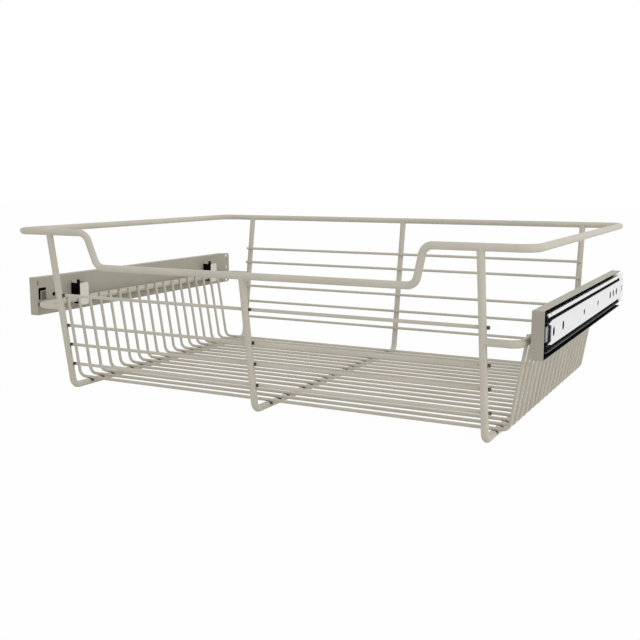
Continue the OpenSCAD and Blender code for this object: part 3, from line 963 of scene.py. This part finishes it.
    def build(self, coat: bpy.types.Material, weld: bpy.types.Material
              ) -> list[bpy.types.Object]:
        """Makes the wires, their fillets and ends, and lets them ride on the basket.

        Args:
            coat: the basket's powder coat.
            weld: the coat painted dark with the shade that falls where wires cross.

        Returns:
            The new pieces.
        """
        floor, rail = self.floor_crossings(), self.rail_crossings()
        front, rear = (self.post_crossings(facing) for facing in Facing)
        bead, spread = self.crossing_fillet(), 0.12
        # dark films of painted shade on the faces where crossing wires meet
        thin = self.painted_shade_film(self.grid_r, self.frame_r + self.shade_film_reach, True)
        heavy = self.painted_shade_film(self.frame_r, self.grid_r + 0.6 * self.shade_film_reach, False)
        sets = {
            "floor_weld_fillets": (floor, bead, spread),
            "rail_weld_fillets": (rail, bead, spread),
            "front_post_fillets": (front, bead, spread),
            "rear_post_fillets": (rear, bead, spread),
            # films of painted shade
            "floor_rib_painted_shade": (floor, heavy, 0.0),
            "post_painted_shade": (front, heavy, 0.0),
            "level_wire_painted_shade": (front, thin, 0.0),
            "frame_joint_fillets": (self.end_joints(), self.joint_fillet(), 0.0),
            "wire_end_caps": (self.wire_ends(), self.end_cap(), 0.0),
        }
        pieces = self.thick_wires(coat)
        for name, ((centres, frames), local, change) in sets.items():
            shapes = self.varied(local, len(centres), change)
            points = place(shapes, centres, np.asarray(frames))
            points[..., 2] = np.maximum(points[..., 2], self.ground)
            piece = shells_to_object(name, points)
            # all but the undarkened pieces take the dark coat of painted crossing shade
            piece.data.materials.append(coat if name in self.undarkened else weld)
            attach(piece, self.body)
            log.info("%s: %d places", name, len(centres))
            pieces.append(piece)
        return pieces


# ---- the slides -------------------------------------------------------------


@dataclass
class SlideSizes:
    """The sizes of slides and housings that the finishes need.

    The spans of Y are in millimetres, as at() takes them.
    """

    middle_z: float = 106.6 * MM
    wall_x: float = 301.2 * MM
    web_half: float = 11.0 * MM
    groove_half: float = 14.6 * MM
    groove_span: tuple[float, float] = (-190.0, 186.0)
    slot_spans: tuple[tuple[float, float], ...] = ((-175.0, 30.0), (100.0, 180.0))
    behind_slots: tuple[float, float] = (105.0, 205.0)
    lip_edge: float = 1.0 * MM
    lip_end: float = 2.5 * MM
    housing_in_x: float = 288.4 * MM
    housing_sheet: float = 1.0 * MM
    housing_z: float = 106.2 * MM
    housing_half: float = 22.0 * MM
    housing_front_y: float = -196.8 * MM

    def at(self, u: float, y: float, w: float) -> Vector:
        """A point from its depth below the wall's plane, its y and its height, in mm."""
        return Vector((self.wall_x - u * MM, y * MM, w * MM))

    def groove_shades(self) -> tuple[Shade, ...]:
        """Painted shade: the cabinet member's sunk grooves and slot walls, and its lower lip.
        """
        low, high = self.web_half / MM, self.groove_half / MM
        edge, lip = self.lip_edge / MM, self.lip_end / MM
        front, rear = self.groove_span
        bottom = self.middle_z / MM - high
        return (
            # painted shade: the sunk grooves, black
            Shade(self.at(1.7, front, low), self.at(0.15, rear, high), folded=True),
            # painted shade: the walls of the slots, black
            *(Shade(self.at(1.05, a, -1), self.at(0.05, b, low - 1), folded=True)
              for a, b in self.slot_spans),
            # painted reflection and shade: the lower lip is painted black with a dull grey
            # edge, for the dark below that it reflects
            Shade(self.at(4, front, bottom - edge), self.at(-1, rear, bottom)),
            Shade(self.at(4, front, bottom - lip), self.at(-1, rear, bottom - edge),
                  rgb=(112.0, 112.0, 113.0), metallic=0.0),
        )

    def middle_member_shades(self) -> tuple[Shade, ...]:
        """Painted light and shade on the intermediate member: a tongue painted light grey as
        if lit, a black band of shade under the cabinet member's web, and a dark outer face.

        That face shows only through the cabinet member's rear slots, at every position.
        """
        start, end = self.behind_slots
        return (
            # painted light: the tongue in matte light grey, as if lit
            Shade(self.at(9, -190, -1), self.at(-1, -172.4, 9), folded=True,
                  rgb=(176.0, 177.0, 178.0), metallic=0.0),
            # painted shade: a black band where the web runs under the cabinet member's web
            Shade(self.at(4.4, -171.8, -1), self.at(2, -158, 9), folded=True),
            # painted shade: the outer face, dark behind the rear slots
            Shade(self.at(3.7, start, -1), self.at(1.5, end, 9), folded=True),
        )

    def nose_shades(self) -> tuple[Shade, ...]:
        """Black painted shade: the drawer member's front end, and what all rear slots show."""
        start, end = self.behind_slots
        # painted shade: the front end black, where the housing's hollow is dark
        return (Shade(self.at(12, -200, -1), self.at(2, -176, 30), folded=True),
                # painted shade: black behind the rear slots
                Shade(self.at(12, start, -1), self.at(2, end, 5.2), folded=True))

    def hollow_shades(self) -> tuple[Shade, ...]:
        """Painted shade: a housing's hollow painted black, as far as half the sheet."""
        rise = self.housing_half - 0.5 * self.housing_sheet
        # painted shade: the inside of the hollow, black
        return (Shade(
            Vector((self.housing_in_x + 0.6 * self.housing_sheet,
                    self.housing_front_y + 0.8 * self.housing_sheet, self.housing_z - rise)),
            Vector((self.wall_x + 1 * MM, 196 * MM, self.housing_z + rise))),)


# ---- dressing ---------------------------------------------------------------


@dataclass
class Dresser:
    """Gives every carried-over node the material of its slot."""

    groups: Groups
    slides: SlideSizes = field(default_factory=SlideSizes)
    made: dict[str, bpy.types.Material] = field(default_factory=dict)

    def finishes(self) -> dict[str, PaintFinish | PlatedSheet]:
        """The finish of each material slot."""
        return {
            "powder_coat": PaintFinish("powder_coat", (199, 194, 180), (190, 185, 171)),
            # painted shade: a dark coat where crossing wires shade each other
            "crossing_shade_coat": PaintFinish("crossing_shade_coat", (96, 90, 79), (74, 69, 60)),
            # the housing's hollow carries painted shade
            "housing_paint": PaintFinish(
                "housing_paint", (173, 169, 156), (165, 161, 147),
                shades=self.slides.hollow_shades()),
            "hook_paint": PaintFinish("hook_paint", (224, 220, 209), (216, 212, 201)),
            "zinc": self.zinc("zinc"),
            "cage_steel": PlatedSheet("cage_steel", (190, 191, 193), (160, 161, 165)),
            "cage_plastic": PaintFinish("cage_plastic", (26, 26, 27), (18, 18, 19),
                                        roughness=0.35, specular=0.4),
            "ball_steel": PlatedSheet("ball_steel", (232, 233, 235), (214, 215, 218),
                                      roughness=0.08),
            "lock_plastic": PaintFinish(
                "lock_plastic", (7, 7, 7), (4, 4, 4), roughness=0.8,
                peel_per_m=1600.0, coat=0.0, specular=0.08),
            "bumper_rubber": PaintFinish("bumper_rubber", (24, 24, 24), (17, 17, 17),
                                         roughness=0.7, coat=0.0),
            "rivet_steel": PlatedSheet("rivet_steel", (205, 206, 208), (180, 181, 184),
                                       roughness=0.32),
        }

    def zinc(self, name: str, shades: tuple[Shade, ...] = ()) -> PlatedSheet:
        """The slides' bright zinc plate."""
        return PlatedSheet(name, (234, 234, 235), (226, 226, 228), shades=shades)

    def member_finishes(self) -> dict[str, PlatedSheet]:
        """The finish of each slide member; they differ in where shade and light are painted.
        """
        return {
            "cabinet_member": self.zinc("zinc_outer", self.slides.groove_shades()),
            "intermediate_member": self.zinc("zinc_middle", self.slides.middle_member_shades()),
            "drawer_member": self.zinc("zinc_inner", self.slides.nose_shades()),
        }

    def dress(self, nodes: dict[str, bpy.types.Object], record: dict) -> None:
        """Builds the materials and puts one on each node.

        Args:
            nodes: the carried-over nodes by name.
            record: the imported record, whose subparts name each node's slot.
        """
        self.made = {slot: f.build(self.groups) for slot, f in self.finishes().items()}
        members = {stem: f.build(self.groups) for stem, f in self.member_finishes().items()}
        for part in record["subparts"]:
            obj = nodes[part["node"]]
            stem = part["node"].rpartition("_")[0]
            material = members.get(stem, self.made[part["material_slot"]])
            obj.data.materials.clear()
            obj.data.materials.append(material)
        log.info("dressed %d nodes", len(record["subparts"]))


# ---- the studio -------------------------------------------------------------


@dataclass
class Studio:
    """Camera, floor, lamp and world."""

    eye: tuple[float, float, float] = (0.48033, -0.96958, 0.24085)
    yaw: float = math.radians(27.309)
    pitch: float = math.radians(-8.862)
    focal_px: float = 901.64
    image_px: int = 640
    sensor_mm: float = 36.0
    clip: tuple[float, float] = (0.01, 100.0)
    floor_half: float = 6.0
    floor_tone: float = 0.86
    floor_glow: float = 0.96
    world_light: float = 0.86
    key_at: tuple[float, float, float] = (2.1, -0.35, 0.9)
    key_size: float = 1.4
    key_power: float = 9.0
    key_aim: tuple[float, float, float] = (0.0, 0.0, 0.08)

    def camera(self) -> None:
        """Sets the camera that the photograph was taken with."""
        data = bpy.data.cameras.new("camera")
        data.sensor_width = self.sensor_mm
        data.lens = self.focal_px / self.image_px * self.sensor_mm
        data.clip_start, data.clip_end = self.clip
        obj = bpy.data.objects.new("camera", data)
        bpy.context.scene.collection.objects.link(obj)
        ahead = Vector((-math.sin(self.yaw) * math.cos(self.pitch),
                        math.cos(self.yaw) * math.cos(self.pitch), math.sin(self.pitch)))
        obj.location = self.eye
        obj.rotation_mode = "QUATERNION"
        obj.rotation_quaternion = ahead.to_track_quat("-Z", "Y")
        bpy.context.scene.camera = obj

    def sharp_rays(self, graph: Graph) -> object:
        """A socket that is 1 on camera rays and reflections, and 0 on the others."""
        path = graph.add("ShaderNodeLightPath")
        return graph.math("MAXIMUM", path.outputs["Is Camera Ray"],
                          path.outputs["Is Glossy Ray"])

    def floor(self) -> None:
        """Lays a pale floor that looks white to the camera and keeps a soft shadow."""
        half = self.floor_half
        mesh = bpy.data.meshes.new("floor")
        mesh.from_pydata([(-half, -half, 0), (half, -half, 0), (half, half, 0),
                          (-half, half, 0)], [], [(0, 1, 2, 3)])
        obj = bpy.data.objects.new("floor", mesh)
        bpy.context.scene.collection.objects.link(obj)
        material, graph = new_material("floor_white")
        matte = graph.add("ShaderNodeBsdfDiffuse", {"Color": (*[self.floor_tone] * 3, 1.0)})
        glow = graph.add("ShaderNodeEmission", {"Strength": 1.0})
        seen = graph.math("MULTIPLY", self.sharp_rays(graph), self.floor_glow)
        both = graph.add("ShaderNodeMixShader", {0: seen, 1: matte.outputs[0],
                                                 2: glow.outputs[0]})
        graph.add("ShaderNodeOutputMaterial", {"Surface": both.outputs[0]})
        mesh.materials.append(material)

    def world(self) -> None:
        """Sets an even white surround: full white to the camera and in reflections."""
        world = bpy.data.worlds.new("surround")
        bpy.context.scene.world = world
        world.use_nodes = True
        world.node_tree.nodes.clear()
        graph = Graph(world.node_tree)
        extra = graph.math("MULTIPLY", self.sharp_rays(graph), 1.0 - self.world_light)
        back = graph.add("ShaderNodeBackground", {
            "Color": (1.0, 1.0, 1.0, 1.0),
            "Strength": graph.math("ADD", extra, self.world_light)})
        graph.add("ShaderNodeOutputWorld", {"Surface": back.outputs[0]})

    def key(self) -> None:
        """Adds a square area lamp on the right that points at the basket."""
        data = bpy.data.lights.new("key", "AREA")
        data.size, data.energy = self.key_size, self.key_power
        obj = bpy.data.objects.new("key", data)
        bpy.context.scene.collection.objects.link(obj)
        obj.location = self.key_at
        obj.rotation_mode = "QUATERNION"
        aim = Vector(self.key_aim) - Vector(self.key_at)
        obj.rotation_quaternion = aim.to_track_quat("-Z", "Y")

    def build(self) -> None:
        """Sets up the whole studio."""
        self.camera()
        self.floor()
        self.world()
        self.key()
        bpy.context.scene.view_settings.view_transform = "Standard"


def main() -> None:
    """Builds the studio, the finishes and the added pieces, in order."""
    logging.basicConfig(level=logging.INFO, format="%(name)s: %(message)s")
    Studio().build()
    dresser = Dresser(Groups())
    dresser.dress(frame["nodes"], frame["record"])
    WireBasket().build(dresser.made["powder_coat"], dresser.made["crossing_shade_coat"])


if __name__ == "__main__":
    main()
